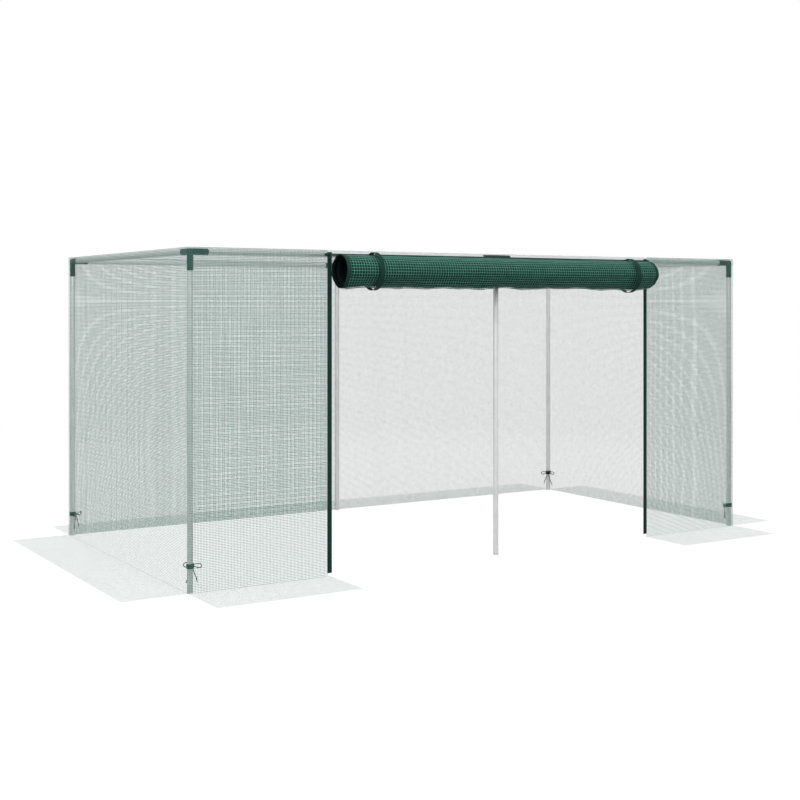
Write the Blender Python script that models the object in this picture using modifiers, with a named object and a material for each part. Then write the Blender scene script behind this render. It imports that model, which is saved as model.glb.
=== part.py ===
"""Fruit cage for a garden bed: thin steel tubes pushed into green socket
connectors, under a net cover with skirts and a zipped front door that is
rolled up and held by two straps. Metres, +Z up, +X along the front from left
to right, +Y to the back. The origin is on the ground in the middle."""

import math

import bmesh
import bpy
from mathutils import Vector

# Whole frame, measured over the outside of the connectors
FRAME_LENGTH = 2.40
FRAME_DEPTH = 1.20
FRAME_HEIGHT = 1.09
MIDDLE_SHIFT = 0.005  # the middle hoop stands this far right of centre

# Gap between two pieces that touch
SEAT_GAP = 0.0003

# Tubes, and the connectors whose sockets take them
TUBE_RADIUS = 0.0095
TUBE_WALL = 0.0008
SOCKET_WALL = 0.0008
SOCKET_REACH = 0.060  # from a connector's centre to the end of each arm
SOCKET_WEB = 0.0115  # from that centre to the bottom of each socket
SOCKET_LEAD = 0.002  # how far a cutter runs out of the socket's mouth
ROUND_SIDES = 12
SHARP_ANGLE = math.radians(40)  # edges bent more than this are drawn sharp

# Net cover. Its strands stand for many fine threads
NET_THICKNESS = 0.0015
NET_STRAND = 0.012
NET_CELL = 0.24
NET_HEM = 0.020  # doubled edge, wide enough to lie over the connectors
SKIRT_WIDTH = 0.22

# Front door, between the middles of its two zips
DOOR_WIDTH = 1.4115
DOOR_SHIFT = 0.01375  # the door's middle stands this far right of centre

# Zips: a woven tape, and a coil of teeth along its middle
TAPE_WIDTH = 0.017
TAPE_FOOT = 0.011  # the tape stops this far above the ground
TAPE_HEAD = 0.003  # and this far below the top of the frame
COIL_WIDTH = 0.004
COIL_THICKNESS = 0.0015
COIL_END = 0.002  # tape that shows below the coil

# Zip sliders, each with a pull on a pin between two ears
SLIDER_WIDTH = 0.011
SLIDER_HEIGHT = 0.012
SLIDER_DEPTH = 0.0045
SLIDER_BELOW_HEADER = 0.0025
EAR_THICKNESS = 0.0012
EAR_HALF_HEIGHT = 0.0016
PIN_RADIUS = 0.0007
PIN_ABOVE_MIDDLE = 0.002
PULL_WIDTH = 0.005
PULL_LENGTH = 0.028
PULL_THICKNESS = 0.0014
EYE_RADIUS = 0.0018
EYE_OVERRUN = 0.001  # how far the drill for the eye runs past both sides

# Header binding along the top of the door
HEADER_HEIGHT = 0.008
HEADER_DROP = 0.0075  # from the top of the frame to the binding's upper edge
HEADER_OVERLAP = 0.0185  # past the middle of each zip

# Door net: a short hanging strip, and the roll below it
DOOR_NET_THICKNESS = 0.0012
ROLL_RADIUS = 0.0555
ROLL_TURNS = 3
ROLL_PITCH = 0.0038  # how much nearer the axis each turn lies
ROLL_LAYER = 0.0015
ROLL_STEPS = 20  # flats in one turn
ROLL_BELOW_TOP = 0.068  # from the top of the frame to the roll's axis
ROLL_LEFT_INSET = 0.0065  # from the middle of the left zip to the roll's end
ROLL_RIGHT_INSET = 0.0355
DOOR_TAPE_WIDTH = 0.015  # the door's own half of each zip, rolled up with it

# Straps that hold the roll: webbing sewn to the header
STRAP_WIDTH = 0.018
STRAP_THICKNESS = 0.0012
STRAP_SLACK = 0.0071  # from the roll's outside to the middle of the webbing
STRAP_LIFT = 0.0018  # the loop hangs this much above the roll's axis
STRAP_INSETS = (0.135, 0.1395)  # from the middle of the left and right zip
STRAP_STEPS = 26
STRAP_LEAD_SHARES = (  # of the run over the roll and of the rise, from the header on
    (0.00, 0.15),
    (0.00, 0.42),
    (0.05, 0.68),
    (0.22, 0.90),
    (0.50, 0.99),
)

# Corner ties: a band round each corner post, with a knot, two loops and two
# tails of thin cord on its inner side
TIE_HEIGHT = 0.084
BAND_HEIGHT = 0.015
BAND_THICKNESS = 0.0008
KNOT_WIDTH = 0.0096
KNOT_HEIGHT = 0.009
KNOT_DEPTH = 0.0086
KNOT_BEVEL = 0.0014
CORD_DIAMETER = 0.003
CORD_PLANE = 0.0143  # from the post's axis to the knot's middle, inwards
CORD_SPREAD = 0.0022  # how far a loop's ends lie under and over that middle
LOOP_LENGTH = 0.027
LOOP_BULGE = 0.0082
LOOP_LEAN = 0.003  # how far a loop's far end leans off the post
LOOP_POINTS = 24
LOOP_SIDES = 1  # bevel resolution of the loops
TAIL_SIDES = 2  # bevel resolution of the tails
TAIL_SPACING = 0.0045
TAIL_ROUTE = (
    (0.0178, -0.0520, 0.0155),
    (0.0158, -0.0410, 0.0154),
    (0.0112, -0.0300, 0.0152),
    (0.0068, -0.0190, 0.0148),
    (0.0040, -0.0104, 0.0143),
    (0.0022, -0.0075, 0.0143),
    (0.0000, -0.0064, 0.0143),
    (-0.0022, -0.0075, 0.0143),
    (-0.0040, -0.0104, 0.0143),
    (-0.0062, -0.0200, 0.0148),
    (-0.0092, -0.0320, 0.0150),
    (-0.0152, -0.0450, 0.0154),
    (-0.0205, -0.0570, 0.0158),
)

# Colour, roughness and metallic value of each finish
FINISHES = {
    "pole_grey": ((0.66, 0.66, 0.66), 0.40, 0.0),
    "connector_green": ((0.022, 0.070, 0.055), 0.45, 0.0),
    "net_pale": ((0.42, 0.52, 0.48), 0.60, 0.0),
    "net_green": ((0.045, 0.150, 0.115), 0.55, 0.0),
    "webbing_green": ((0.015, 0.052, 0.042), 0.70, 0.0),
    "zip_dark": ((0.020, 0.045, 0.040), 0.35, 0.0),
    "cord_green": ((0.008, 0.028, 0.022), 0.75, 0.0),
}

SOCKET_RADIUS = TUBE_RADIUS + SEAT_GAP + SOCKET_WALL
TUBE_STOP = SOCKET_WEB + SEAT_GAP
POST_X = FRAME_LENGTH / 2 - SOCKET_RADIUS
POST_Y = FRAME_DEPTH / 2 - SOCKET_RADIUS
RAIL_Z = FRAME_HEIGHT - SOCKET_RADIUS
COVER_X = FRAME_LENGTH / 2 + SEAT_GAP + NET_THICKNESS
COVER_Y = FRAME_DEPTH / 2 + SEAT_GAP + NET_THICKNESS
ZIP_X = (DOOR_SHIFT - DOOR_WIDTH / 2, DOOR_SHIFT + DOOR_WIDTH / 2)
COIL_BACK_Y = -COVER_Y - SEAT_GAP
COIL_FRONT_Y = COIL_BACK_Y - COIL_THICKNESS
HEADER_TOP = FRAME_HEIGHT - HEADER_DROP
HEADER_FOOT = HEADER_TOP - HEADER_HEIGHT
HEADER_FRONT_Y = COIL_FRONT_Y
DOOR_BACK_Y = HEADER_FRONT_Y - SEAT_GAP
DOOR_FRONT_Y = DOOR_BACK_Y - DOOR_NET_THICKNESS
ROLL_Y = DOOR_FRONT_Y - SEAT_GAP - ROLL_RADIUS
ROLL_Z = FRAME_HEIGHT - ROLL_BELOW_TOP
ROLL_X = (ZIP_X[0] + ROLL_LEFT_INSET, ZIP_X[1] - ROLL_RIGHT_INSET)
CORNERS = {
    "front_left": (-1, -1),
    "front_right": (1, -1),
    "back_left": (-1, 1),
    "back_right": (1, 1),
}


def clear_scene():
    for obj in list(bpy.data.objects):
        bpy.data.objects.remove(obj)


def new_collection(name):
    collection = bpy.data.collections.new(name)
    bpy.context.scene.collection.children.link(collection)
    return collection


def finish(name):
    """The material of one finish, made the first time it is asked for."""
    if name in bpy.data.materials:
        return bpy.data.materials[name]
    colour, roughness, metallic = FINISHES[name]
    material = bpy.data.materials.new(name)
    material.use_nodes = True
    shader = material.node_tree.nodes["Principled BSDF"]
    shader.inputs["Base Color"].default_value = (*colour, 1.0)
    shader.inputs["Roughness"].default_value = roughness
    shader.inputs["Metallic"].default_value = metallic
    return material


def add_object(name, shape, finish_name, smooth=False):
    """Links a bmesh as an object among the parts."""
    mesh = bpy.data.meshes.new(name)
    shape.to_mesh(mesh)
    shape.free()
    if smooth:
        mesh.shade_smooth()
        mesh.set_sharp_from_angle(angle=SHARP_ANGLE)
    mesh.materials.append(finish(finish_name))
    obj = bpy.data.objects.new(name, mesh)
    PARTS.objects.link(obj)
    return obj


def make_helper(obj):
    """Moves an object to the cutters, out of the renders."""
    PARTS.objects.unlink(obj)
    CUTTERS.objects.link(obj)
    obj.hide_render = True
    obj.display_type = "WIRE"
    return obj


def combine(obj, other, operation):
    """Adds, or takes away, a helper's solid."""
    boolean = obj.modifiers.new(other.name, "BOOLEAN")
    boolean.operation = operation
    boolean.object = make_helper(other)


def add_wall(obj, thickness, offset):
    """Gives an open surface its thickness."""
    solidify = obj.modifiers.new("wall", "SOLIDIFY")
    solidify.thickness = thickness
    solidify.offset = offset
    solidify.use_even_offset = True


def attach(child, parent):
    bpy.context.view_layer.update()
    child.parent = parent
    child.matrix_parent_inverse = parent.matrix_world.inverted()


def aim(obj, start, end):
    """Lays an object that stands on its own Z between two points."""
    along = Vector(end) - Vector(start)
    obj.location = (Vector(start) + Vector(end)) / 2
    obj.rotation_euler = along.to_track_quat("Z", "Y").to_euler()


def rod(name, start, end, radius, finish_name):
    """A solid round bar between two points."""
    shape = bmesh.new()
    bmesh.ops.create_cone(
        shape,
        cap_ends=True,
        segments=ROUND_SIDES,
        radius1=radius,
        radius2=radius,
        depth=(Vector(end) - Vector(start)).length,
    )
    obj = add_object(name, shape, finish_name, smooth=True)
    aim(obj, start, end)
    return obj


def tube(name, start, end, radius, wall, finish_name):
    """A round tube, open at both ends, between two points."""
    shape = bmesh.new()
    bmesh.ops.create_cone(
        shape,
        cap_ends=False,
        segments=ROUND_SIDES,
        radius1=radius,
        radius2=radius,
        depth=(Vector(end) - Vector(start)).length,
    )
    obj = add_object(name, shape, finish_name, smooth=True)
    aim(obj, start, end)
    add_wall(obj, wall, -1)
    return obj


def block(name, low, high, finish_name, centre=None):
    """A box between two corners, with its origin in its middle or where asked."""
    low = Vector(low)
    high = Vector(high)
    origin = (low + high) / 2 if centre is None else Vector(centre)
    shape = bmesh.new()
    bmesh.ops.create_cube(shape, size=1.0)
    bmesh.ops.scale(shape, vec=high - low, verts=shape.verts)
    bmesh.ops.translate(shape, vec=(low + high) / 2 - origin, verts=shape.verts)
    obj = add_object(name, shape, finish_name)
    obj.location = origin
    return obj


def net(name, size, centre, turn, finish_name, thickness=NET_THICKNESS, hem=NET_HEM):
    """A flat net of crossing strands inside a hem, lying in XY before it is turned."""
    rim = hem - NET_STRAND / 2
    inner = [side - 2 * rim for side in size]
    shape = bmesh.new()
    bmesh.ops.create_grid(
        shape,
        x_segments=max(1, round(size[0] / NET_CELL)),
        y_segments=max(1, round(size[1] / NET_CELL)),
        size=0.5,
    )
    bmesh.ops.scale(shape, vec=(*inner, 1.0), verts=shape.verts)
    gaps = shape.faces[:]
    bmesh.ops.inset_individual(shape, faces=gaps, thickness=NET_STRAND / 2)
    bmesh.ops.delete(shape, geom=gaps, context="FACES_ONLY")
    for vert in shape.verts:
        for axis in (0, 1):
            if abs(vert.co[axis]) > (inner[axis] - NET_STRAND / 2) / 2:
                vert.co[axis] = math.copysign(size[axis] / 2, vert.co[axis])
    obj = add_object(name, shape, finish_name)
    obj.location = centre
    obj.rotation_euler = [math.radians(angle) for angle in turn]
    add_wall(obj, thickness, 0)
    return obj


def band(name, path, width, thickness, offset, finish_name):
    """A strip of cloth that follows a path in YZ and is as wide as asked in X."""
    shape = bmesh.new()
    points = [shape.verts.new((-width / 2, y, z)) for y, z in path]
    edges = [shape.edges.new(pair) for pair in zip(points, points[1:])]
    made = bmesh.ops.extrude_edge_only(shape, edges=edges)["geom"]
    moved = [part for part in made if isinstance(part, bmesh.types.BMVert)]
    bmesh.ops.translate(shape, vec=(width, 0, 0), verts=moved)
    obj = add_object(name, shape, finish_name, smooth=True)
    add_wall(obj, thickness, offset)
    return obj


def make_frame():
    """Six posts, and the rails between their tops."""
    middle = MIDDLE_SHIFT
    post_top = RAIL_Z - TUBE_STOP
    posts = {name: (x * POST_X, y * POST_Y) for name, (x, y) in CORNERS.items()}
    posts["front_middle"] = (middle, -POST_Y)
    posts["back_middle"] = (middle, POST_Y)
    for name, (x, y) in posts.items():
        tube("post_" + name, (x, y, 0), (x, y, post_top), TUBE_RADIUS, TUBE_WALL, "pole_grey")
    left = (-POST_X + TUBE_STOP, middle - TUBE_STOP)
    right = (middle + TUBE_STOP, POST_X - TUBE_STOP)
    side = POST_Y - TUBE_STOP
    rails = {
        "front_left": ((left[0], -POST_Y), (left[1], -POST_Y)),
        "front_right": ((right[0], -POST_Y), (right[1], -POST_Y)),
        "back_left": ((left[0], POST_Y), (left[1], POST_Y)),
        "back_right": ((right[0], POST_Y), (right[1], POST_Y)),
        "side_left": ((-POST_X, -side), (-POST_X, side)),
        "side_right": ((POST_X, -side), (POST_X, side)),
        "roof_middle": ((middle, -side), (middle, side)),
    }
    for name, (start, end) in rails.items():
        tube("rail_" + name, (*start, RAIL_Z), (*end, RAIL_Z), TUBE_RADIUS, TUBE_WALL, "pole_grey")


def make_connector(name, place, arms):
    """A ball with a socket along each arm."""
    centre = Vector((*place, RAIL_Z))
    shape = bmesh.new()
    bmesh.ops.create_uvsphere(
        shape, u_segments=ROUND_SIDES, v_segments=ROUND_SIDES // 2, radius=SOCKET_RADIUS
    )
    obj = add_object("connector_" + name, shape, "connector_green", smooth=True)
    obj.location = centre
    sleeves = []
    bores = []
    for number, arm in enumerate(arms):
        along = Vector(arm)
        label = f"{name}_{number}"
        mouth = centre + along * SOCKET_REACH
        sleeves.append(rod("sleeve_" + label, centre, mouth, SOCKET_RADIUS, "connector_green"))
        bottom = centre + along * SOCKET_WEB
        beyond = mouth + along * SOCKET_LEAD
        bores.append(rod("bore_" + label, bottom, beyond, TUBE_RADIUS + SEAT_GAP, "connector_green"))
    for sleeve in sleeves:
        combine(obj, sleeve, "UNION")
    for bore in bores:
        combine(obj, bore, "DIFFERENCE")


def make_connectors():
    down = (0, 0, -1)
    for name, (x, y) in CORNERS.items():
        make_connector(name, (x * POST_X, y * POST_Y), [(-x, 0, 0), (0, -y, 0), down])
    for name, y in (("front_middle", -1), ("back_middle", 1)):
        arms = [(-1, 0, 0), (1, 0, 0), (0, -y, 0), down]
        make_connector(name, (MIDDLE_SHIFT, y * POST_Y), arms)


def make_cover():
    """The roof, the walls and the skirts that lie outwards on the ground."""
    wall_x = COVER_X - NET_THICKNESS / 2
    wall_y = COVER_Y - NET_THICKNESS / 2
    roof_z = FRAME_HEIGHT + SEAT_GAP + NET_THICKNESS / 2
    half = FRAME_HEIGHT / 2
    net("net_roof", (FRAME_LENGTH, FRAME_DEPTH), (0, 0, roof_z), (0, 0, 0), "net_pale")
    net("net_back", (FRAME_LENGTH, FRAME_HEIGHT), (0, wall_y, half), (90, 0, 0), "net_pale")
    net("net_left", (FRAME_DEPTH, FRAME_HEIGHT), (-wall_x, 0, half), (90, 0, 90), "net_pale")
    net("net_right", (FRAME_DEPTH, FRAME_HEIGHT), (wall_x, 0, half), (90, 0, 90), "net_pale")

    ground = NET_THICKNESS / 2
    reach_x = COVER_X + SEAT_GAP + SKIRT_WIDTH / 2
    reach_y = COVER_Y + SEAT_GAP + SKIRT_WIDTH / 2
    side = (SKIRT_WIDTH, FRAME_DEPTH)
    net("skirt_back", (FRAME_LENGTH, SKIRT_WIDTH), (0, reach_y, ground), (0, 0, 0), "net_pale")
    net("skirt_left", side, (-reach_x, 0, ground), (0, 0, 0), "net_pale")
    net("skirt_right", side, (reach_x, 0, ground), (0, 0, 0), "net_pale")

    for name, outer, zip_x in (("left", -1, ZIP_X[0]), ("right", 1, ZIP_X[1])):
        edge = zip_x + outer * (TAPE_WIDTH / 2 + SEAT_GAP)
        corner = outer * FRAME_LENGTH / 2
        wide = abs(corner - edge)
        middle = (corner + edge) / 2
        net("net_front_" + name, (wide, FRAME_HEIGHT), (middle, -wall_y, half), (90, 0, 0), "net_pale")
        wide = abs(corner - zip_x)
        middle = (corner + zip_x) / 2
        net("skirt_front_" + name, (wide, SKIRT_WIDTH), (middle, -reach_y, ground), (0, 0, 0), "net_pale")


def make_slider(name, zip_x):
    """A zip slider astride the coil, and the pull that swings on its pin."""
    z = HEADER_FOOT - SLIDER_BELOW_HEADER - SLIDER_HEIGHT / 2
    front_y = COIL_BACK_Y - SLIDER_DEPTH
    low = (zip_x - SLIDER_WIDTH / 2, front_y, z - SLIDER_HEIGHT / 2)
    high = (zip_x + SLIDER_WIDTH / 2, COIL_BACK_Y, z + SLIDER_HEIGHT / 2)
    slider = block("zip_slider_" + name, low, high, "zip_dark")

    half = COIL_WIDTH / 2 + SEAT_GAP
    low = (zip_x - half, COIL_FRONT_Y - SEAT_GAP, z - SLIDER_HEIGHT)
    high = (zip_x + half, COIL_BACK_Y + COIL_THICKNESS, z + SLIDER_HEIGHT)
    combine(slider, block("groove_" + name, low, high, "zip_dark"), "DIFFERENCE")

    pin_y = front_y - SEAT_GAP - EYE_RADIUS
    pin_z = z + PIN_ABOVE_MIDDLE
    ear_in = PULL_WIDTH / 2 + SEAT_GAP
    ear_out = ear_in + EAR_THICKNESS
    for side in (-1, 1):
        xs = sorted((zip_x + side * ear_in, zip_x + side * ear_out))
        low = (xs[0], pin_y - EAR_HALF_HEIGHT, pin_z - EAR_HALF_HEIGHT)
        high = (xs[1], front_y + EAR_HALF_HEIGHT, pin_z + EAR_HALF_HEIGHT)
        combine(slider, block(f"ear_{name}_{side + 1}", low, high, "zip_dark"), "UNION")
    middle_ear = (ear_in + ear_out) / 2
    start = (zip_x - middle_ear, pin_y, pin_z)
    end = (zip_x + middle_ear, pin_y, pin_z)
    combine(slider, rod("pin_" + name, start, end, PIN_RADIUS, "zip_dark"), "UNION")

    low = (zip_x - PULL_WIDTH / 2, pin_y - PULL_THICKNESS / 2, pin_z - PULL_LENGTH)
    high = (zip_x + PULL_WIDTH / 2, pin_y + PULL_THICKNESS / 2, pin_z - PIN_RADIUS)
    pull = block("zip_pull_" + name, low, high, "zip_dark", centre=(zip_x, pin_y, pin_z))
    start = (zip_x - PULL_WIDTH / 2, pin_y, pin_z)
    end = (zip_x + PULL_WIDTH / 2, pin_y, pin_z)
    combine(pull, rod("eye_" + name, start, end, EYE_RADIUS, "zip_dark"), "UNION")
    start = (start[0] - EYE_OVERRUN, pin_y, pin_z)
    end = (end[0] + EYE_OVERRUN, pin_y, pin_z)
    drill = rod("eye_bore_" + name, start, end, PIN_RADIUS + SEAT_GAP, "zip_dark")
    combine(pull, drill, "DIFFERENCE")
    attach(pull, slider)
    print("slider", name, "middle height", round(z, 5), "pin at", round(pin_y, 5), round(pin_z, 5))


def make_zips():
    for name, zip_x in zip(("left", "right"), ZIP_X):
        low = (zip_x - TAPE_WIDTH / 2, -COVER_Y, TAPE_FOOT)
        high = (zip_x + TAPE_WIDTH / 2, -COVER_Y + NET_THICKNESS, FRAME_HEIGHT - TAPE_HEAD)
        block("zip_tape_" + name, low, high, "webbing_green")
        low = (zip_x - COIL_WIDTH / 2, COIL_FRONT_Y, TAPE_FOOT + COIL_END)
        high = (zip_x + COIL_WIDTH / 2, COIL_BACK_Y, HEADER_FOOT - SEAT_GAP)
        block("zip_coil_" + name, low, high, "zip_dark")
        make_slider(name, zip_x)


def make_header():
    low = (ZIP_X[0] - HEADER_OVERLAP, HEADER_FRONT_Y, HEADER_FOOT)
    high = (ZIP_X[1] + HEADER_OVERLAP, COIL_BACK_Y, HEADER_TOP)
    block("door_header", low, high, "webbing_green")


def spiral():
    """The middle of the rolled net, from its hanging side inwards, about 0, 0."""
    points = []
    for step in range(ROLL_TURNS * ROLL_STEPS + 1):
        turns = step / ROLL_STEPS
        radius = ROLL_RADIUS - ROLL_LAYER / 2 - ROLL_PITCH * turns
        angle = 2 * math.pi * turns
        points.append((radius * math.cos(angle), -radius * math.sin(angle)))
    return points


def make_door():
    """The hanging strip, the rolled net, and the zip tape rolled up at its ends."""
    length = ROLL_X[1] - ROLL_X[0]
    middle = (ROLL_X[0] + ROLL_X[1]) / 2
    height = HEADER_TOP - ROLL_Z
    place = (middle, (DOOR_BACK_Y + DOOR_FRONT_Y) / 2, HEADER_TOP - height / 2)
    hanging = net(
        "door_net",
        (length, height),
        place,
        (90, 0, 0),
        "net_green",
        thickness=DOOR_NET_THICKNESS,
        hem=NET_STRAND,
    )

    inner = length - 2 * (DOOR_TAPE_WIDTH + SEAT_GAP)
    roll = band("door_roll", spiral(), inner, ROLL_LAYER, 0, "net_green")
    roll.location = (middle, ROLL_Y, ROLL_Z)
    attach(roll, hanging)
    for name, x in (
        ("left", ROLL_X[0] + DOOR_TAPE_WIDTH / 2),
        ("right", ROLL_X[1] - DOOR_TAPE_WIDTH / 2),
    ):
        tape = band(
            "door_tape_" + name, spiral(), DOOR_TAPE_WIDTH, ROLL_LAYER, 0, "webbing_green"
        )
        tape.location = (x, ROLL_Y, ROLL_Z)
        attach(tape, roll)
    print("roll axis", round(ROLL_Y, 5), round(ROLL_Z, 5), "header top", round(HEADER_TOP, 5))


def strap_path():
    """From the header's face over the top of the roll, round it, and up behind the net."""
    half = STRAP_THICKNESS / 2
    front_y = DOOR_FRONT_Y - SEAT_GAP - half
    back_y = DOOR_BACK_Y + SEAT_GAP + half
    loop = ROLL_RADIUS + STRAP_SLACK
    loop_z = ROLL_Z + STRAP_LIFT
    head_z = loop_z + loop
    rise = head_z - HEADER_FOOT
    run = front_y - ROLL_Y
    path = [(front_y - run * over, HEADER_FOOT + rise * up) for over, up in STRAP_LEAD_SHARES]
    last = 2 * math.pi - math.acos((back_y - ROLL_Y) / loop)
    for step in range(STRAP_STEPS + 1):
        angle = math.pi / 2 + (last - math.pi / 2) * step / STRAP_STEPS
        path.append((ROLL_Y + loop * math.cos(angle), loop_z + loop * math.sin(angle)))
    path.append((back_y, HEADER_FOOT - SEAT_GAP))
    return path


def make_straps():
    places = (ZIP_X[0] + STRAP_INSETS[0], ZIP_X[1] - STRAP_INSETS[1])
    for name, x in zip(("left", "right"), places):
        strap = band(
            "roll_strap_" + name, strap_path(), STRAP_WIDTH, STRAP_THICKNESS, 0, "webbing_green"
        )
        strap.location = (x, 0, 0)


def even_points(points, spacing):
    """Points that far apart, or a little less, along a fine line."""
    travelled = [0.0]
    for before, after in zip(points, points[1:]):
        travelled.append(travelled[-1] + (after - before).length)
    count = math.ceil(travelled[-1] / spacing)
    found = []
    index = 0
    for number in range(count + 1):
        wanted = travelled[-1] * number / count
        while index < len(points) - 2 and travelled[index + 1] < wanted:
            index += 1
        share = (wanted - travelled[index]) / (travelled[index + 1] - travelled[index])
        found.append(points[index].lerp(points[index + 1], share))
    return found


def smooth_line(route, steps=12):
    """A fine line on a smooth curve through the points of a route."""
    route = [Vector(point) for point in route]
    ends = [route[0] * 2 - route[1], *route, route[-1] * 2 - route[-2]]
    line = []
    for a, b, c, d in zip(ends, ends[1:], ends[2:], ends[3:]):
        for step in range(steps):
            t = step / steps
            pull_in = (c - a) * t + (a * 2 - b * 5 + c * 4 - d) * t**2
            line.append(b + (pull_in + (b * 3 - a - c * 3 + d) * t**3) / 2)
    line.append(route[-1])
    return line


def bow_line():
    """Both loops of a bow, as along, up and inwards. The line leaves one side of
    the knot, loops round, crosses the knot's face and loops back to its other side."""
    half = []
    steps = LOOP_POINTS * 6
    start = KNOT_WIDTH / 2 + SEAT_GAP
    rise = KNOT_DEPTH / 2 + 2 * SEAT_GAP + CORD_DIAMETER / 2
    for step in range(steps + 1):
        angle = 2 * math.pi * step / steps
        out = math.sin(angle / 2) ** 2
        along = start * math.cos(angle / 4) + LOOP_LENGTH * out
        up = -CORD_SPREAD * math.cos(angle / 2) - LOOP_BULGE * math.sin(angle) * out
        off = CORD_PLANE + rise * math.sin(angle / 4) ** 2 + LOOP_LEAN * out
        half.append(Vector((along, up, off)))
    other = [Vector((-point.x, point.y, point.z)) for point in half]
    return half + other[-2::-1]


def tail_line():
    """Both tails of a bow. They meet in a tight bend under the knot."""
    line = smooth_line(TAIL_ROUTE)
    bend = max(range(len(line)), key=lambda index: line[index].y)
    first = even_points(line[: bend + 1], TAIL_SPACING)
    return first + even_points(line[bend:], TAIL_SPACING)[1:]


def measure(points):
    return sum((after - before).length for before, after in zip(points, points[1:]))


def least_gap(points):
    """How near a cord comes to itself, between stretches that aren't neighbours."""
    skip = math.ceil(3 * CORD_DIAMETER / (points[1] - points[0]).length)
    nearest = min(
        (points[i] - points[j]).length
        for i in range(len(points))
        for j in range(i + skip, len(points))
    )
    return nearest - CORD_DIAMETER


def cord(name, line, sides):
    """A round cord along a line of points, as a tube with filled ends."""
    curve = bpy.data.curves.new(name, "CURVE")
    curve.dimensions = "3D"
    curve.bevel_depth = CORD_DIAMETER / 2
    curve.bevel_resolution = sides
    curve.use_fill_caps = True
    spline = curve.splines.new("POLY")
    spline.points.add(len(line) - 1)
    for point, place in zip(spline.points, line):
        point.co = (*place, 1.0)
    curve.materials.append(finish("cord_green"))
    obj = bpy.data.objects.new(name, curve)
    PARTS.objects.link(obj)
    return obj


def make_tie(name, x_side, y_side):
    """A band round a corner post, its knot, and the loops and tails of its bow."""
    post = Vector((x_side * POST_X, y_side * POST_Y, TIE_HEIGHT))
    inwards = Vector((-x_side, -y_side, 0)).normalized()
    along = Vector((-x_side, y_side, 0)).normalized()

    def place(line):
        return [post + along * s + inwards * d + Vector((0, 0, h)) for s, h, d in line]

    low = post - Vector((0, 0, BAND_HEIGHT / 2))
    high = post + Vector((0, 0, BAND_HEIGHT / 2))
    radius = TUBE_RADIUS + SEAT_GAP + BAND_THICKNESS
    wrap = tube("tie_wrap_" + name, low, high, radius, BAND_THICKNESS, "webbing_green")

    shape = bmesh.new()
    bmesh.ops.create_cube(shape, size=1.0)
    bmesh.ops.scale(shape, vec=(KNOT_WIDTH, KNOT_DEPTH, KNOT_HEIGHT), verts=shape.verts)
    knot = add_object("knot_" + name, shape, "webbing_green")
    bevel = knot.modifiers.new("rounded", "BEVEL")
    bevel.width = KNOT_BEVEL
    bevel.segments = 2
    knot.location = post + inwards * CORD_PLANE
    knot.rotation_euler = (0, 0, math.atan2(along.y, along.x))
    combine(wrap, knot, "UNION")

    fine = bow_line()
    length = measure(fine)
    bow = even_points(fine, length / (2 * LOOP_POINTS))
    print("bow", name, "length", round(length, 4), "least gap", round(least_gap(bow), 5))
    cord("tie_bow_" + name, place(bow), LOOP_SIDES)
    tails = tail_line()
    print("tails", name, "length", round(measure(tails), 4), "least gap", round(least_gap(tails), 5))
    cord("tie_tails_" + name, place(tails), TAIL_SIDES)


clear_scene()
PARTS = new_collection("fruit_cage")
CUTTERS = new_collection("cutters")
make_frame()
make_connectors()
make_cover()
make_zips()
make_header()
make_door()
make_straps()
for corner, sides in CORNERS.items():
    make_tie(corner, *sides)
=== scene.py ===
"""A fruit cage as it stands over a bed: grey tubes in green socket connectors,
a fine green net with skirts, and a zipped front door that is rolled up and
held by two straps. After the view and the ties, the sections follow the order
in which the cage is put up."""

import math

import bmesh
import bpy
from mathutils import Matrix, Vector


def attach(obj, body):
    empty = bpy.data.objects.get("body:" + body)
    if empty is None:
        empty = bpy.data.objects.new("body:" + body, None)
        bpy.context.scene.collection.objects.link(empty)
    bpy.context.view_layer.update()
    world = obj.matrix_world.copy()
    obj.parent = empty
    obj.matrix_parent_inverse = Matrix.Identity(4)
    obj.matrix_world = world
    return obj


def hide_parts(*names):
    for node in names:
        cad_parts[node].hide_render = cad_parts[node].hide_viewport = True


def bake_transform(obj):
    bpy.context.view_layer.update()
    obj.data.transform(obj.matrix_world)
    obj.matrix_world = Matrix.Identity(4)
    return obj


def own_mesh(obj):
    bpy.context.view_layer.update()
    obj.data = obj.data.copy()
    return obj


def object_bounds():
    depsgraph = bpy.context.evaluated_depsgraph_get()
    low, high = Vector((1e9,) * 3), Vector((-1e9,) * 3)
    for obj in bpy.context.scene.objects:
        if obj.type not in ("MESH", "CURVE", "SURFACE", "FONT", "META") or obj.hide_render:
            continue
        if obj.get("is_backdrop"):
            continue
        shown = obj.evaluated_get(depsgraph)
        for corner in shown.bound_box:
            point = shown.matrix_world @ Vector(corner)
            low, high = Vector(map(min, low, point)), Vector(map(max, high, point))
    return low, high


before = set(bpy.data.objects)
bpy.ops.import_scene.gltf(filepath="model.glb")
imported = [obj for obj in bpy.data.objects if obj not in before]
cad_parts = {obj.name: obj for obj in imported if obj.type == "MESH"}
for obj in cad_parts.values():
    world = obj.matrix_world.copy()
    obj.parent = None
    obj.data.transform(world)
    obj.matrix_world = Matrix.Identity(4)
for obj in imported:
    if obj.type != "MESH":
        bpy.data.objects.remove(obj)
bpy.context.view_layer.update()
scene = bpy.context.scene

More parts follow.
